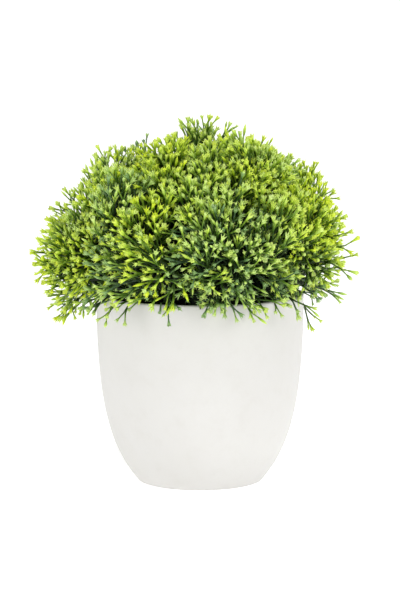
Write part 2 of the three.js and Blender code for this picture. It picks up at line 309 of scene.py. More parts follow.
def leaf_material():
    """Moulded foliage: blue-green stems that turn yellow-green at the buds."""
    shader = Shader("foliage_moulding", 0.34)
    shader.surface.inputs["Specular IOR Level"].default_value = 0.22
    shader.surface.inputs["Subsurface Weight"].default_value = 0.1
    shader.surface.inputs["Subsurface Radius"].default_value = (0.9 * MM, 1.1 * MM, 0.3 * MM)
    shader.surface.inputs["Subsurface Scale"].default_value = 1.0
    where = shader.node("ShaderNodeUVMap")
    where.uv_map = LEAF_MAP
    parts = shader.node("ShaderNodeSeparateXYZ", Vector=where.outputs["UV"])
    along, chance = parts.outputs["X"], parts.outputs["Y"]
    # Both ramps: the stems' own dark green, deepened to near black towards the twig roots inside the
    # plant as painted shade, turning yellow-green at the buds.
    bright = shader.ramp(
        along,
        (0.0, (0.003, 0.006, 0.001)),
        (0.3, (0.01, 0.022, 0.003)),
        (0.5, (0.025, 0.056, 0.006)),
        (0.66, (0.076, 0.158, 0.012)),
        (0.8, (0.365, 0.535, 0.046)),
        (1.0, (0.71, 0.87, 0.165)),
    )
    dusky = shader.ramp(
        along,
        (0.0, (0.003, 0.006, 0.001)),
        (0.4, (0.023, 0.042, 0.012)),
        (0.7, (0.06, 0.11, 0.028)),
        (0.88, (0.19, 0.31, 0.07)),
        (1.0, (0.42, 0.58, 0.13)),
    )
    # Low v takes the dusky ramp: some sprigs are darker at random, and the inner, low and drooping
    # sprigs get low v as painted shade.
    share = shader.ramp(chance, (0.02, (1, 1, 1)), (0.2, (0, 0, 0)))
    tone = shader.mix(share, bright, dusky)
    fade = shader.ramp(
        chance,
        (0.0, (0.76, 0.86, 1.35)),
        (0.3, (0.94, 0.98, 1.55)),
        (0.6, (0.98, 1.0, 0.8)),
        (1.0, (1.06, 1.03, 0.3)),
    )
    shader.colour(shader.mix(1.0, tone, fade, "MULTIPLY"))
    shader.gloss(shader.scaled(along, 0.36, 0.26, 0.3, 1.0))
    return shader.material


POT_SKIN = pot_material()
BLACK_SKIN = plastic_material("black_moulding", (0.008, 0.007, 0.01), (0.022, 0.019, 0.026), 0.5)
TRUNK_SKIN = plastic_material("trunk_moulding", (0.012, 0.035, 0.014), (0.03, 0.075, 0.03), 0.5)
STEM_SKIN = plastic_material("stem_moulding", (0.014, 0.042, 0.022), (0.03, 0.085, 0.038), 0.45)
CRUMB_SKIN = crumb_material()
PLASTER_SKIN = plaster_material("cast_plaster", (0.42, 0.4, 0.37), (0.66, 0.64, 0.6), 160)
FOAM_SKIN = plaster_material("dry_foam", (0.02, 0.05, 0.022), (0.06, 0.12, 0.05), 700)
STEEL_SKIN = steel_material()
LEAF_SKIN = leaf_material()


def dress(piece, material):
    """Gives a piece one material."""
    piece.data.materials.clear()
    piece.data.materials.append(material)


# ---------------------------------------------------------------- pot, liner, dressing, ballast


def make_pot():
    """The white shell, with a rounded lip."""
    outer = wall_outline(0)
    inner = wall_outline(WALL)[::-1]
    inner = inner[inner[:, 1] > POT_FLOOR]
    lip_low = RIM_Z - RIM_ROUND
    middle = (RIM_RADIUS - WALL / 2, lip_low)
    lip = arc(middle, WALL / 2, 0, 180, 9)
    lip[:, 1] = lip_low + (lip[:, 1] - lip_low) * RIM_ROUND / (WALL / 2)
    base = [(0, 0), (outer[0][0] - FOOT_ROUND, 0)]
    profile = np.concatenate([base, outer, lip, inner, [(0, POT_FLOOR)]])
    pot = lathe("pot_shell", profile)
    dress(pot, POT_SKIN)
    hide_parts("pot")
    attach(pot, "pot_body")


def make_liner():
    """The black cup that the plant is planted in."""
    wall = 1.6 * MM
    lip_width = 1.8 * MM
    floor = 2 * MM
    foot_bevel = 0.8 * MM
    throat_bevel = 0.4 * MM
    corners = corners_of("liner_cup")
    base = corners[corners[:, 2] < LINER_LOW.z + 0.1 * MM]
    foot = float(np.hypot(base[:, 0], base[:, 1]).max())
    lip = LINER_HIGH.x
    lip_round = 1.2 * MM
    throat = lip - lip_width
    profile = [
        (0, LINER_LOW.z),
        (foot - foot_bevel, LINER_LOW.z),
        (foot, LINER_LOW.z + foot_bevel),
        (throat, LINER_HIGH.z - 2 * lip_round),
        *arc((lip - lip_round, LINER_HIGH.z - lip_round), lip_round, -80, 110, 8),
        (throat - wall, LINER_HIGH.z - throat_bevel),
        (foot - wall, LINER_LOW.z + floor),
        (0, LINER_LOW.z + floor),
    ]
    liner = lathe("planting_cup", profile, LINER_SIDES)
    dress(liner, BLACK_SKIN)
    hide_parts("liner_cup")
    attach(liner, "plant")


BALLAST_RINGS = (0.985, 0.8, 0.6, 0.4, 0.2, 0)  # of its top face, as shares of its radius


def make_ballast():
    """The plaster casting that fills the pot's bottom, with a soft top edge."""
    gap = 0.3 * MM
    edge = 0.8 * MM
    top = BALLAST_HIGH.z
    outline = wall_outline(WALL + gap)
    heights = outline[:, 1]
    outline = outline[(heights > BALLAST_LOW.z) & (heights < top - edge)]
    reach = outline[-1][0]
    rings = [(reach * share, top) for share in BALLAST_RINGS]
    profile = np.concatenate([[(0, BALLAST_LOW.z)], outline, rings])
    ballast = lathe("cast_ballast", profile, HIDDEN_SIDES)
    dress(ballast, PLASTER_SKIN)
    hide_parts("ballast_puck")
    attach(ballast, "pot_body")


CRUMB_CORNERS = (
    (0, 0, -1),
    (0.9, 0, -0.2),
    (0.2, 0.8, 0),
    (-0.8, 0.5, -0.1),
    (-0.7, -0.6, 0.1),
    (0.4, -0.9, 0),
    (0, 0, 0.8),
)
CRUMBS = 900
BED_STEPS = 26
POST_CLEARANCE = 7.8 * MM  # the radius that the dressing leaves for the trunk post


def make_dressing():
    """A ring of dark dressing with an uneven top, and crumbs heaped on it."""
    rng = np.random.default_rng(5)
    post = POST_CLEARANCE
    edge = DRESSING_HIGH.x - 0.4 * MM
    top = DRESSING_HIGH.z - 0.6 * MM
    steps = np.linspace(edge, post, BED_STEPS)
    heights = top - 0.8 * MM * rng.random(BED_STEPS)
    floor = DRESSING_LOW.z
    profile = [(post, floor), (edge, floor), *zip(steps, heights), (post, floor)]
    bed = lathe("dressing_bed", profile, HIDDEN_SIDES)
    dress(bed, CRUMB_SKIN)
    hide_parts("soil_dressing")
    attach(bed, "plant")
    nearest_squared = post**2 + 4 * MM**2
    radius = np.sqrt(rng.uniform(nearest_squared, (edge - 2 * MM) ** 2, CRUMBS))
    turn = rng.uniform(0, 2 * math.pi, CRUMBS)
    size = rng.uniform(0.9, 2.2, CRUMBS) * MM
    places = np.stack([radius * np.cos(turn), radius * np.sin(turn), top + size * 0.2], axis=1)
    corners = len(CRUMB_CORNERS)
    stretch = rng.uniform(0.6, 1.2, (CRUMBS, corners, 3))
    shapes = np.array(CRUMB_CORNERS)[None] * stretch * size[:, None, None]
    vertices = (shapes + places[:, None]).reshape(-1, 3)
    sides = [(i, i % 5 + 1) for i in range(1, 6)]
    faces = [(0, b, a) for a, b in sides] + [(corners - 1, a, b) for a, b in sides]
    starts = range(0, corners * CRUMBS, corners)
    mesh = bpy.data.meshes.new("dressing_crumbs")
    all_faces = [tuple(start + index for index in face) for start in starts for face in faces]
    mesh.from_pydata(vertices.tolist(), [], all_faces)
    crumbs = add_object("dressing_crumbs", mesh)
    dress(crumbs, CRUMB_SKIN)
    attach(crumbs, "plant")


# ---------------------------------------------------------------- foliage meshes

TUBE_SIDES = 5
REST_ABOVE_RIM = 1.2 * MM


def lay_on_rim(points):
    """Lifts the points that would pass through the pot, so that they lie over its rim."""
    inside = np.hypot(points[:, 0], points[:, 1]) < RIM_RADIUS + REST_ABOVE_RIM
    points[inside, 2] = np.maximum(points[inside, 2], RIM_Z + REST_ABOVE_RIM)
    return points


SEED_BAND = 0.004  # how far v varies round one twig


class Foliage:
    """Collects tubes and buds, and turns them into one mesh with the leaf map."""

    def __init__(self):
        self.points, self.tones, self.seeds = [], [], []
        self.loops, self.sizes = [], []
        self.count = 0

    def add(self, points, tones, seeds, loops, sizes):
        """points (n, k, 3), tones and seeds (n, k), with the same faces for all n copies."""
        copies, corners = points.shape[:2]
        offsets = self.count + np.arange(copies)[:, None] * corners
        self.points.append(points.reshape(-1, 3))
        self.tones.append(np.broadcast_to(tones, (copies, corners)).ravel())
        self.seeds.append(seeds.ravel())
        self.loops.append((offsets + np.asarray(loops)[None]).ravel())
        self.sizes.append(np.tile(sizes, copies))
        self.count += copies * corners

    def tubes(self, lines, radii, tones, seeds):
        """Round twigs along lines (n, k, 3), with a radius and a tone at each point."""
        copies, steps = lines.shape[:2]
        slopes = unit(np.gradient(lines, axis=1))
        guide = unit(np.cross(slopes[:, 0], [0.31, -0.45, 0.84]))[:, None].repeat(steps, axis=1)
        side = across(guide, slopes)
        other = np.cross(slopes, side)
        angles = (np.arange(TUBE_SIDES) * 2 * math.pi / TUBE_SIDES)[:, None]
        ring = side[:, :, None] * np.cos(angles) + other[:, :, None] * np.sin(angles)
        radii = np.broadcast_to(radii, (copies, steps))
        points = lines[:, :, None] + ring * radii[:, :, None, None]
        loops, sizes = [], []
        for step in range(steps - 1):
            for place in range(TUBE_SIDES):
                after = (place + 1) % TUBE_SIDES
                low, high = step * TUBE_SIDES, (step + 1) * TUBE_SIDES
                loops += [low + place, low + after, high + after, high + place]
                sizes.append(4)
        loops += list(range(TUBE_SIDES))[::-1]
        loops += [(steps - 1) * TUBE_SIDES + place for place in range(TUBE_SIDES)]
        sizes += [TUBE_SIDES, TUBE_SIDES]
        spread = np.tile(np.arange(TUBE_SIDES) / TUBE_SIDES, steps) * SEED_BAND
        tones = np.repeat(np.broadcast_to(tones, (copies, steps)), TUBE_SIDES, axis=1)
        self.add(points.reshape(copies, -1, 3), tones, seeds[:, None] + spread, loops, sizes)

    def buds(self, shape, places, directions, rolls, scales, seeds):
        """Copies of a bud shape, with its foot at a place and its tip along a direction."""
        corners, tones, spread, loops, sizes = shape
        side = across(np.cross(directions, [0.62, 0.31, -0.72]), directions)
        other = np.cross(directions, side)
        turn_cos, turn_sin = np.cos(rolls)[:, None], np.sin(rolls)[:, None]
        first = side * turn_cos + other * turn_sin
        second = other * turn_cos - side * turn_sin
        axes = np.stack([first, second, directions], axis=1)
        points = places[:, None] + np.einsum("kc,ncd->nkd", corners, axes) * scales[:, None, None]
        self.add(points, tones, seeds[:, None] + spread * SEED_BAND, loops, sizes)

    def piece(self, name, material):
        """One smooth mesh of everything collected."""
        points = lay_on_rim(np.concatenate(self.points))
        loops = np.concatenate(self.loops).astype(np.int32)
        sizes = np.concatenate(self.sizes).astype(np.int32)
        mesh = bpy.data.meshes.new(name)
        mesh.vertices.add(len(points))
        mesh.vertices.foreach_set("co", points.astype(np.float32).ravel())
        mesh.loops.add(len(loops))
        mesh.loops.foreach_set("vertex_index", loops)
        mesh.polygons.add(len(sizes))
        starts = np.concatenate([[0], np.cumsum(sizes)[:-1]]).astype(np.int32)
        mesh.polygons.foreach_set("loop_start", starts)
        mesh.polygons.foreach_set("use_smooth", np.ones(len(sizes), bool))
        mesh.update(calc_edges=True)
        tones, seeds = np.concatenate(self.tones), np.concatenate(self.seeds)
        uv = np.stack([tones[loops], seeds[loops]], axis=1)
        mesh.uv_layers.new(name=LEAF_MAP).data.foreach_set("uv", uv.astype(np.float32).ravel())
        mesh.validate()
        piece = add_object(name, mesh)
        dress(piece, material)
        return piece


# Bud shapes. Lengths are in metres, along +Z from the end of the twig. Tones run from the twig's
# own, where the bud begins, to 1 at its tips.

BUD_TONE = 0.74
TOOTH_TONE = 0.92  # where a tooth leaves its bud


def turned_bud(rings, sides, tip_height, jag=0.0):
    """A bud with (height, radius) rings, closed by a point. jag raises every other last corner."""
    corners, tones, spread, loops, sizes = [], [], [], [], []
    top = max(tip_height, rings[-1][0])
    for number, (height, radius) in enumerate(rings):
        for place in range(sides):
            angle = 2 * math.pi * place / sides
            raised = jag * (place % 2) if number == len(rings) - 1 else 0.0
            corners.append((radius * math.cos(angle), radius * math.sin(angle), height + raised))
            tones.append(BUD_TONE + (1 - BUD_TONE) * min((height + raised) / top, 1))
            spread.append(place / sides)
    for step in range(len(rings) - 1):
        for place in range(sides):
            after = (place + 1) % sides
            low, high = step * sides, (step + 1) * sides
            loops += [low + place, low + after, high + after, high + place]
            sizes.append(4)
    tip = len(corners)
    corners.append((0, 0, tip_height))
    tones.append(1.0 if tip_height >= rings[-1][0] else 0.9)
    spread.append(0.5)
    last = (len(rings) - 1) * sides
    for place in range(sides):
        loops += [last + place, last + (place + 1) % sides, tip]
        sizes.append(3)
    loops += list(range(sides))[::-1]
    sizes.append(sides)
    return corners, tones, spread, loops, sizes


def with_teeth(bud, count, ring_radius, ring_height, length, thickness, lean):
    """Adds a crown of pointed teeth to a bud, and one more in its middle."""
    corners, tones, spread, loops, sizes = (list(part) for part in bud)
    teeth = [(2 * math.pi * number / count, ring_radius, lean, length) for number in range(count)]
    teeth.append((0.4, 0.0, 0.12, length * 0.9))
    for angle, radius, tilt, reach in teeth:
        outward = np.array([math.cos(angle), math.sin(angle), 0])
        along = outward * math.sin(tilt) + np.array([0, 0, math.cos(tilt)])
        sideways = np.cross(along, outward)
        square = np.cross(sideways, along)
        root = outward * radius + np.array([0, 0, ring_height])
        first = len(corners)
        for place in range(4):
            turn = math.pi / 2 * place
            offset = thickness * (math.cos(turn) * square + math.sin(turn) * sideways)
            corners.append(tuple(root + offset))
            tones.append(TOOTH_TONE)
            spread.append(place / 4)
        corners.append(tuple(root + along * reach))
        tones.append(1.0)
        spread.append(0.5)
        for place in range(4):
            loops += [first + place, first + (place + 1) % 4, first + 4]
            sizes.append(3)
        loops += [first + 3, first + 2, first + 1, first]
        sizes.append(4)
    return corners, tones, spread, loops, sizes


def in_metres(bud):
    """A bud drawn in millimetres, as arrays in metres."""
    corners, *rest = bud
    return (np.array(corners) * MM, *(np.array(part) for part in rest))


CROWN_BODY = turned_bud([(-0.4, 0.46), (1.2, 0.68), (2.6, 1.15), (3.3, 1.05)], 6, 3.2)
CROWN = in_metres(with_teeth(CROWN_BODY, 5, 0.78, 2.7, 2.4, 0.48, 0.5))
SMALL_CROWN_BODY = turned_bud([(-0.4, 0.46), (1.4, 0.62), (2.8, 0.95), (3.4, 0.8)], 6, 3.2)
SMALL_CROWN = in_metres(with_teeth(SMALL_CROWN_BODY, 3, 0.55, 2.7, 2.4, 0.46, 0.46))
SPINDLE = in_metres(turned_bud([(-0.4, 0.46), (1.6, 0.76), (3.2, 0.84), (4.6, 0.5)], 6, 6.2))
OVAL = in_metres(turned_bud([(-0.4, 0.46), (1.0, 0.9), (2.2, 1.15), (3.3, 0.9)], 6, 4.5))
TRUMPET_BODY = turned_bud([(-0.4, 0.46), (1.6, 0.6), (3.4, 0.98), (4.8, 1.45)], 8, 2.9, jag=1.0)
TRUMPET = in_metres(TRUMPET_BODY)
BUD_SHARES = ((CROWN, 0.42), (SMALL_CROWN, 0.26), (SPINDLE, 0.16), (OVAL, 0.06), (TRUMPET, 0.10))

# ---------------------------------------------------------------- how twigs grow

FORK_LENGTHS = (8.5 * MM, 8.0 * MM, 7.0 * MM)  # of the first, second and last prongs
FORK_ANGLES = (0.33, 0.33, 0.3)
FORK_TONES = (0.34, 0.46, 0.6, BUD_TONE)
FORK_RADII = (0.64, 0.56, 0.5, 0.44)  # in millimetres
OUTWARD_DRAW = 0.1  # how strongly each fork turns back towards its twig's direction
LAST_SEED = 0.99  # the highest value of a twig's v
BUD_LENGTH = 4.6 * MM
ROOT_RADIUS = 1.0  # in millimetres
ROOT_TONE = 0.08
TWIG_STEPS = 8
TWIG_HANDLE = 0.36  # the reach of a twig's two curve handles, as a share of its span
SHOOT_STEP = 5  # the step of a twig where its side shoot leaves
SHOOT_RADIUS = 0.72  # in millimetres


def crown_reach(levels):
    """How far a twig's tips stand beyond its first fork."""
    return 0.94 * sum(FORK_LENGTHS[-levels:]) + BUD_LENGTH


def fork(rng, ends, directions, planes, level, outward):
    """Two curved prongs from each end. Returns lines (2n, 3, 3), new directions and new planes."""
    count = len(ends)
    ends = np.repeat(ends, 2, axis=0)
    before = np.repeat(directions, 2, axis=0)
    planes = np.repeat(planes, 2, axis=0)
    sign = np.tile([1.0, -1.0], count)[:, None]
    angle = rng.normal(FORK_ANGLES[level], 0.08, (2 * count, 1))
    heading = before * np.cos(angle) + planes * np.sin(angle) * sign
    drawn = OUTWARD_DRAW * np.repeat(outward, 2, axis=0)
    heading = unit(heading + drawn + rng.normal(0, 0.05, heading.shape))
    reach = FORK_LENGTHS[level] * rng.uniform(0.7, 1.25, (2 * count, 1))
    start = ends - before * 0.3 * MM
    middle = ends + 0.5 * reach * unit(0.5 * before + 0.5 * heading)
    finish = ends + reach * unit(0.15 * before + 0.85 * heading)
    turned = across(np.cross(heading, planes), heading)
    twist = rng.uniform(-0.7, 0.7, (2 * count, 1))
    planes = across(turned * np.cos(twist) + planes * np.sin(twist), heading)
    return np.stack([start, middle, finish], axis=1), unit(finish - middle), planes


def sprig(foliage, rng, ends, directions, outward, seeds, levels):
    """Forks each end several times, and sets a bud on each last prong."""
    planes = across(unit(rng.normal(size=ends.shape)), directions)
    for level in range(len(FORK_LENGTHS) - levels, len(FORK_LENGTHS)):
        lines, directions, planes = fork(rng, ends, directions, planes, level, outward)
        outward = np.repeat(outward, 2, axis=0)
        seeds = np.repeat(seeds, 2) + rng.normal(0, 0.08, 2 * len(seeds))
        seeds = np.clip(seeds, 0, LAST_SEED)
        radii = np.linspace(FORK_RADII[level], FORK_RADII[level + 1], 3) * MM
        tones = np.linspace(FORK_TONES[level], FORK_TONES[level + 1], 3)
        foliage.tubes(lines, radii, tones, seeds)
        ends = lines[:, -1]
    kind = rng.choice(len(BUD_SHARES), len(ends), p=[share for _, share in BUD_SHARES])
    rolls = rng.uniform(0, 2 * math.pi, len(ends))
    scales = rng.uniform(0.75, 1.15, len(ends))
    for number, (shape, _) in enumerate(BUD_SHARES):
        chosen = kind == number
        if chosen.any():
            picked = (part[chosen] for part in (ends, directions, rolls, scales, seeds))
            foliage.buds(shape, *picked)


def grow_twigs(foliage, rng, roots, axis, forks, arrive, outward, seeds, short=False):
    """Twigs that leave a spine, bend round to their first forks, and fork there.

    A full twig forks three times and has a side shoot. A short one forks twice.
    """
    levels = 2 if short else 3
    span = np.linalg.norm(forks - roots, axis=1)[:, None]
    first = roots + unit(axis + 0.9 * unit(forks - roots)) * span * TWIG_HANDLE
    second = forks - arrive * span * TWIG_HANDLE
    shares = np.linspace(0, 1, TWIG_STEPS)[:, None]
    lines = (
        roots[:, None] * (1 - shares) ** 3
        + 3 * first[:, None] * shares * (1 - shares) ** 2
        + 3 * second[:, None] * shares**2 * (1 - shares)
        + forks[:, None] * shares**3
    )
    start = len(FORK_LENGTHS) - levels
    tones = np.linspace(ROOT_TONE, FORK_TONES[start], TWIG_STEPS)
    radii = np.linspace(ROOT_RADIUS, FORK_RADII[start], TWIG_STEPS) * MM
    foliage.tubes(lines, radii, tones, seeds)
    heading = unit(lines[:, -1] - lines[:, -2])
    sprig(foliage, rng, lines[:, -1], heading, outward, seeds, levels)
    if short:
        return
    begin = lines[:, SHOOT_STEP]
    along = unit(begin - lines[:, SHOOT_STEP - 1])
    sideways = across(unit(rng.normal(size=along.shape)), along)
    reach = rng.uniform(5, 9, (len(roots), 1)) * MM
    middle = begin + 0.5 * reach * unit(along + 0.35 * sideways)
    finish = begin + reach * unit(along + 0.65 * sideways)
    shoot = np.stack([begin, middle, finish], axis=1)
    shoot_seeds = np.clip(seeds + rng.normal(0, 0.12, len(seeds)), 0, LAST_SEED)
    shoot_tones = np.linspace(tones[SHOOT_STEP], FORK_TONES[1], 3)
    shoot_radii = np.linspace(SHOOT_RADIUS, FORK_RADII[1], 3) * MM
    foliage.tubes(shoot, shoot_radii, shoot_tones, shoot_seeds)
    sprig(foliage, rng, finish, unit(finish - middle), outward, shoot_seeds, 2)


# ---------------------------------------------------------------- the dome of foliage

DOME_CENTRE = np.array([0, 0, RIM_Z + 12 * MM])
DOME_REACH = 91 * MM
DOME_RISE = 86 * MM
DOME_DROP = 80 * MM
HOLLOW_DEPTH = 3.5 * MM  # a shallow ring below the top tuft
HOLLOW_PLACE = 0.43
HOLLOW_WIDTH = 0.15
LUMPS = (  # turn and elevation in degrees, width in radians, height in metres
    (0, 90, 0.15, 5 * MM),
    (180, -3, 0.4, 3 * MM),
    (180, 14, 0.2, -4 * MM),
    (180, 45, 0.2, -5 * MM),
    (180, 61, 0.16, 10 * MM),
    (180, 74, 0.16, -12 * MM),
    (0, -8, 0.5, -26 * MM),
    (0, 16, 0.2, 6 * MM),
    (0, 42, 0.14, -4 * MM),
    (0, 60, 0.16, 7 * MM),
)
BUNCHES = 62
BUNCH_SPREAD = 0.18  # radians from a bunch's middle to its edge
TWIGS_IN_BUNCH = 9
LOWEST = -0.07  # the lowest bunches' elevation in radians
FRONT_LIFT = 0.3  # how much higher they are at the front
RIGHT_LIFT = 0.4  # and on the right
SIDEWAYS_BELOW = 0.36  # the sine of the elevation below which twigs turn sideways
# Painted light: a twig's v, and so its tone, rises on the sides and the top for light shining
# through the foliage there. It falls at the front's middle and low down for a greyer painted sheen
# and painted shade.
PAINTED_SIDE_LIGHT = 0.42  # how much yellower the sides and the top are than the front's middle
PAINTED_TOP_LIGHT = 0.2
PAINTED_LIGHT_DROP = 0.22
SPRAY_WIDTH = 0.45  # radians from a branch's middle to its edge
UP = np.array([0.0, 0, 1])
LOW_STRAIGHT = 0.7  # how strongly a low bunch's twigs follow their own direction
CLIMB = 1.1  # how strongly twigs turn upwards
CLIMB_RISE = (-0.1, 0.05, 0.3, 0.75, 0.95)  # the sine of a bunch's elevation
CLIMB_SHARE = (-0.3, 0.1, 1.0, 0.8, 0.2)
GOLDEN_ANGLE = math.pi * (3 - math.sqrt(5))
FIRST_TURN = 0.9
BRANCH_SHARE = 0.82  # a spray's corners beyond this share of its reach count as its tips
MOUTH_DEPTH = 1.5 * MM
SLEEVE_LENGTH = 8 * MM
LEVEL_CHOICES = (1, 1, 1, -1)  # a low bunch turns away from its branch three times in four
SKIRT_TURNS = (20, 65, 110, 150, 188, 222, 252, 280, 294, 315, 337, 216, 232)  # in degrees
FILLING_LOW = 24  # sprigs inside the plant, for each low branch
FILLING_OTHER = 18  # and for each other branch
FOLIAGE_SEED = 33
SPINE_RADII = (2.5, 2.5, 1.9, 1.1)  # in millimetres, from the mouth of the sleeve outwards
SPINE_TONES = (0.2, 0.2, 0.2, 0.3)
SPINE_REACH = 17 * MM
STEM_SEED = 0.3  # the v of spines and stems
STEM_RADIUS = 1.4 * MM
STEM_STEPS = 16
STEM_HANDLE = 0.42  # the reach of a stem's two curve handles, as a share of its span
SOCKET_DEPTH = 2.6 * MM
STEM_IN_SLEEVE = 5 * MM


class Branch:
    """Where one branch's spray begins and points, read from the CAD nodes."""

    def __init__(self, joint):
        self.body = joint["child"]
        self.label = self.body.removeprefix("branch_")
        self.socket = np.array(joint["pos_m"])
        corners = corners_of(f"spray_{self.label}")
        far = np.linalg.norm(corners - self.socket, axis=1)
        mouth = corners[far < far.min() + MOUTH_DEPTH].mean(axis=0)
        tips = corners[far > BRANCH_SHARE * far.max()].mean(axis=0)
        self.axis = unit(tips - mouth)
        self.mouth = mouth
        self.start = mouth + self.axis * SLEEVE_LENGTH
        self.heading = unit(tips - DOME_CENTRE)


BRANCHES = [Branch(joint) for joint in frame["joints"] if joint["type"] == "hinge"]


def dome_radius(directions):
    """The dome's radius in each direction from its centre."""
    rise = directions[:, 2]
    upright = np.where(rise > 0, DOME_RISE, DOME_DROP)
    radius = 1 / np.sqrt((1 - rise**2) / DOME_REACH**2 + rise**2 / upright**2)
    from_top = np.arccos(np.clip(rise, -1, 1))
    radius -= HOLLOW_DEPTH * np.exp(-(((from_top - HOLLOW_PLACE) / HOLLOW_WIDTH) ** 2))
    for turn, elevation, width, height in LUMPS:
        flat = math.cos(math.radians(elevation))
        middle = (flat * math.cos(math.radians(turn)), flat * math.sin(math.radians(turn)))
        away = np.arccos(np.clip(directions @ [*middle, math.sin(math.radians(elevation))], -1, 1))
        radius += height * np.exp(-((away / width) ** 2))
    return radius


def bunch_headings(rng):
    """Evenly spread directions over the dome, from its lowest bunches to its top."""
    numbers = np.arange(BUNCHES) + 0.5
    turn = numbers * GOLDEN_ANGLE + FIRST_TURN
    lowest = LOWEST + FRONT_LIFT * np.clip(-np.sin(turn), 0, 1) ** 2
    lowest += RIGHT_LIFT * np.clip(np.cos(turn), 0, 1) ** 2
    rise = 1 - numbers / BUNCHES * (1 - np.sin(lowest))
    flat = np.sqrt(1 - rise**2)
    headings = np.stack([flat * np.cos(turn), flat * np.sin(turn), rise], axis=1)
    return unit(headings + rng.normal(0, 0.03, headings.shape))


def bunch_lean(rng, branch, heading, is_low):
    """How far a bunch's twigs lean to one side. A low bunch leans sideways as well."""
    lean = across(rng.normal(size=3), heading) * rng.uniform(0.1, 0.75)
    if is_low:
        level = across(np.cross(UP, heading), heading)
        side_of_branch = np.sign((heading - branch.heading) @ level) * rng.choice(LEVEL_CHOICES)
        lean = lean + level * side_of_branch * rng.uniform(0.6, 1.5)
    return lean


def add_bunch(grown, rng, heading):
    """One bunch of twigs, on the branch whose spray is nearest."""
    branch = max(BRANCHES, key=lambda candidate: float(candidate.heading @ heading))
    is_low = heading[2] < SIDEWAYS_BELOW
    places = np.arange(TWIGS_IN_BUNCH - is_low) + 0.5
    count = len(places)
    spread = BUNCH_SPREAD * np.sqrt(places / count)
    turn = places * GOLDEN_ANGLE + rng.uniform(0, 2 * math.pi)
    side = across(np.array([0.3, 0.2, 0.93]), heading)
    other = np.cross(heading, side)
    lateral = side * np.cos(turn)[:, None] + other * np.sin(turn)[:, None]
    directions = heading + lateral * np.tan(spread)[:, None] + rng.normal(0, 0.02, (count, 3))
    directions = unit(directions)
    share = (spread / BUNCH_SPREAD)[:, None]
    reach = dome_radius(directions) * (1 - 0.06 * share[:, 0] ** 3)
    reach += rng.normal(0, 1.6 * MM, count) + rng.normal(0, 3.5 * MM)
    targets = DOME_CENTRE + directions * reach[:, None]
    roots = branch.start + branch.axis * rng.uniform(-2, 13, (count, 1)) * MM
    fan = 0.55 * (heading - branch.heading) / SPRAY_WIDTH + 0.45 * share * lateral
    lean = bunch_lean(rng, branch, heading, is_low)
    climb = CLIMB * np.interp(heading[2], CLIMB_RISE, CLIMB_SHARE) * across(UP, heading)
    straight = (LOW_STRAIGHT if is_low else 1) * directions
    outward = unit(straight + fan + lean + climb + rng.normal(0, 0.09, (count, 3)))
    forks = targets - outward * crown_reach(3)
    # Painted light and shade, set by where the bunch faces.
    painted_light = PAINTED_SIDE_LIGHT * abs(heading[0]) + PAINTED_TOP_LIGHT * heading[2] - PAINTED_LIGHT_DROP
    seeds = rng.uniform(0.1, 0.8) + painted_light + rng.normal(0, 0.1, count)
    seeds = np.clip(seeds, 0.0, LAST_SEED)
    grow_twigs(grown[branch.body], rng, roots, branch.axis, forks, outward, outward, seeds)


def add_skirt(grown, rng, turn):
    """One small sprig that droops over the rim."""
    low = [branch for branch in BRANCHES if branch.label.startswith("low")]
    outward_flat = np.array([math.cos(turn), math.sin(turn), 0])
    branch = max(low, key=lambda candidate: float(candidate.heading @ outward_flat))
    count = int(rng.integers(1, 3))
    angle = turn + rng.uniform(-0.12, 0.12, count)
    radius = RIM_RADIUS + rng.uniform(3, 13, count) * MM
    height = RIM_Z + rng.uniform(2, 7, count) * MM
    forks = np.stack([radius * np.cos(angle), radius * np.sin(angle), height], axis=1)
    swing = rng.uniform(-0.7, 0.7, (count, 1)) * np.cross(outward_flat, [0, 0, 1])
    arrive = unit(outward_flat + 0.4 * swing + np.array([0, 0, -0.3]))
    droop = outward_flat * 0.8 + np.array([0, 0, -0.75])
    outward = unit(droop + swing + rng.normal(0, 0.1, (count, 3)))
    roots = branch.start + branch.axis * rng.uniform(0, 10, (count, 1)) * MM
    # Low v for the drooping sprigs: many take the darker tones, as painted shade on the plant's
    # underside, along with random variation between sprigs.
    seeds = np.clip(rng.uniform(0.0, 0.4) + rng.normal(0, 0.08, count), 0.0, LAST_SEED)
    foliage = grown[branch.body]
    grow_twigs(foliage, rng, roots, branch.axis, forks, arrive, outward, seeds, short=True)


def add_filling(grown, rng, branch):
    """Sprigs inside the plant, which close the view through it. Their low v gives them the darker
    tones, as painted shade inside the foliage.
    """
    count = FILLING_LOW if branch.label.startswith("low") else FILLING_OTHER
    around = unit(rng.normal(size=(count, 3)) + 1.5 * branch.heading)
    shell = rng.uniform(0.34, 0.72, (count, 1)) * DOME_REACH
    forks = DOME_CENTRE + around * shell
    forks[:, 2] = np.maximum(forks[:, 2], RIM_Z + 5 * MM)
    roots = branch.start + branch.axis * rng.uniform(-2, 8, (count, 1)) * MM
    from_centre = unit(forks - DOME_CENTRE)
    outward = unit(from_centre + rng.normal(0, 0.4, (count, 3)) + 0.25 * UP)
    # Painted shade: inner sprigs take the darkest v.
    seeds = rng.uniform(0.0, 0.15, count)
    foliage = grown[branch.body]
    grow_twigs(foliage, rng, roots, branch.axis, forks, outward, outward, seeds, short=True)


def grow_foliage(seed):
    """Grows every bunch, drooping sprig and inner sprig."""
    rng = np.random.default_rng(seed)
    grown = {branch.body: Foliage() for branch in BRANCHES}
    for heading in bunch_headings(rng):
        add_bunch(grown, rng, heading)
    for turn in SKIRT_TURNS:
        add_skirt(grown, rng, math.radians(turn + rng.uniform(-3, 3)))
    for branch in BRANCHES:
        add_filling(grown, rng, branch)
    return grown


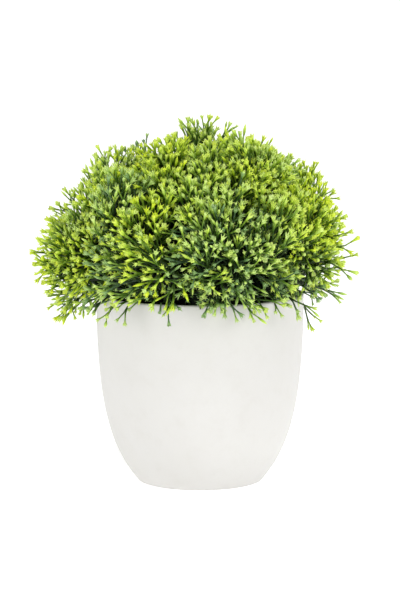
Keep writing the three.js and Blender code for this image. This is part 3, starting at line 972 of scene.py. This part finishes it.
def make_foliage():
    """Makes one mesh of foliage for each branch.
    """
    grown = grow_foliage(FOLIAGE_SEED)
    for branch in BRANCHES:
        foliage = grown[branch.body]
        end = branch.start + branch.axis * SPINE_REACH
        sleeve_end = branch.start - branch.axis * 0.5 * MM
        spine = np.stack([branch.mouth, sleeve_end, branch.start, end])[None]
        radii = np.array(SPINE_RADII) * MM
        foliage.tubes(spine, radii, np.array(SPINE_TONES), np.array([STEM_SEED]))
        piece = foliage.piece(f"foliage_{branch.label}", LEAF_SKIN)
        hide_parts(f"spray_{branch.label}")
        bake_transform(piece)


def make_stems():
    """Smooth bent stems from each socket to the middle of its sleeve."""
    for branch in BRANCHES:
        leave = unit(branch.socket * [1, 1, 0]) if branch.label != "top" else UP
        root = branch.socket - leave * SOCKET_DEPTH
        end = branch.mouth + branch.axis * STEM_IN_SLEEVE
        span = np.linalg.norm(end - root)
        leaving = root + leave * span * STEM_HANDLE
        arriving = end - branch.axis * span * STEM_HANDLE
        line = bezier((root, leaving, arriving, end), np.linspace(0, 1, STEM_STEPS))[None]
        radii = np.full(STEM_STEPS, STEM_RADIUS)
        stem = Foliage()
        stem.tubes(line, radii, np.linspace(0.1, 0.3, STEM_STEPS), np.array([STEM_SEED]))
        piece = stem.piece(f"wired_stem_{branch.label}", STEM_SKIN)
        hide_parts(f"stem_{branch.label}")
        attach(piece, branch.body)


def dress_cad_nodes():
    """Materials for the CAD pieces that stay."""
    skins = {"trunk_post": TRUNK_SKIN, "trunk_wire": STEEL_SKIN, "foam_core": FOAM_SKIN}
    for name, material in skins.items():
        dress(NODES[name], material)
    for name in ("collar_low", "collar_middle", "collar_upper"):
        dress(NODES[name], TRUNK_SKIN)


# ---------------------------------------------------------------- stage, light and camera

SWEEP_HALF_WIDTH = 3.0
SWEEP_NEAR = -2.5
SWEEP_BEND = 1.6  # how far behind the pot the floor starts to rise
SWEEP_CURVE = 0.8
SWEEP_TOP = 2.6
SWEEP_STEPS = 16
SWEEP_GLOW = 0.45  # keeps the pot's shadow on the floor faint
WHITE = (1, 1, 1, 1)
AMBIENT_STRENGTH = 0.44
LIGHT_TARGET = (0, 0, 0.13)
CAMERA_DISTANCE = 1.27
CAMERA_HEIGHT = 0.267
AIM_HEIGHT = 0.1115
LENS = 124.2  # in millimetres


def make_stage():
    """A pale sweep that is floor in front and backdrop behind."""
    profile = [(SWEEP_NEAR, 0.0), (SWEEP_BEND, 0.0)]
    for step in range(1, SWEEP_STEPS + 1):
        angle = step / SWEEP_STEPS * math.pi / 2
        back = SWEEP_BEND + SWEEP_CURVE * math.sin(angle)
        profile.append((back, SWEEP_CURVE * (1 - math.cos(angle))))
    profile.append((SWEEP_BEND + SWEEP_CURVE, SWEEP_TOP))
    vertices = [(side * SWEEP_HALF_WIDTH, y, z) for y, z in profile for side in (-1, 1)]
    faces = [(2 * i, 2 * i + 1, 2 * i + 3, 2 * i + 2) for i in range(len(profile) - 1)]
    mesh = bpy.data.meshes.new("sweep")
    mesh.from_pydata(vertices, [], faces)
    mesh.polygons.foreach_set("use_smooth", [True] * len(faces))
    sweep = add_object("sweep", mesh)
    shader = Shader("pale_sweep", 0.9)
    shader.colour((0.93, 0.93, 0.93, 1))
    shader.surface.inputs["Emission Color"].default_value = WHITE
    shader.surface.inputs["Emission Strength"].default_value = SWEEP_GLOW
    dress(sweep, shader.material)


def point_at(item, place, target):
    """Puts an object somewhere and turns its -Z axis to a target."""
    item.location = place
    item.rotation_mode = "QUATERNION"
    item.rotation_quaternion = (Vector(target) - Vector(place)).to_track_quat("-Z", "Y")


def area_light(name, place, size, power):
    """A soft white disk of light, turned to the shrub."""
    data = bpy.data.lights.new(name, "AREA")
    data.shape = "DISK"
    data.size = size
    data.energy = power
    point_at(add_object(name, data), place, LIGHT_TARGET)


def make_light():
    """A key, a fill and a top light in a soft surround that the camera sees as plain white."""
    world = bpy.data.worlds.new("studio")
    world.use_nodes = True
    tree = world.node_tree
    soft = tree.nodes["Background"]
    soft.inputs["Color"].default_value = WHITE
    soft.inputs["Strength"].default_value = AMBIENT_STRENGTH
    backdrop = tree.nodes.new("ShaderNodeBackground")
    backdrop.inputs["Color"].default_value = WHITE
    either = tree.nodes.new("ShaderNodeMixShader")
    seen = tree.nodes.new("ShaderNodeLightPath").outputs["Is Camera Ray"]
    tree.links.new(seen, either.inputs["Fac"])
    tree.links.new(soft.outputs["Background"], either.inputs[1])
    tree.links.new(backdrop.outputs["Background"], either.inputs[2])
    tree.links.new(either.outputs["Shader"], tree.nodes["World Output"].inputs["Surface"])
    bpy.context.scene.world = world
    area_light("key", (1.2, -0.9, 0.55), 0.6, 8.1)
    area_light("fill", (-1.1, -1.0, 0.25), 0.9, 8.9)
    area_light("top", (0.25, -0.2, 1.6), 0.45, 10.6)


def make_camera():
    """A camera straight in front of the pot and a little above it."""
    data = bpy.data.cameras.new("camera")
    data.lens = LENS
    data.sensor_width = 36
    data.clip_start = 0.05
    data.clip_end = 20
    camera = add_object("camera", data)
    point_at(camera, (0, -CAMERA_DISTANCE, CAMERA_HEIGHT), (0, 0, AIM_HEIGHT))
    bpy.context.scene.camera = camera
    bpy.context.scene.view_settings.view_transform = "Standard"


# ---------------------------------------------------------------- everything together

make_camera()
make_stage()
make_light()
make_pot()
make_liner()
make_ballast()
make_dressing()
make_foliage()
make_stems()
dress_cad_nodes()
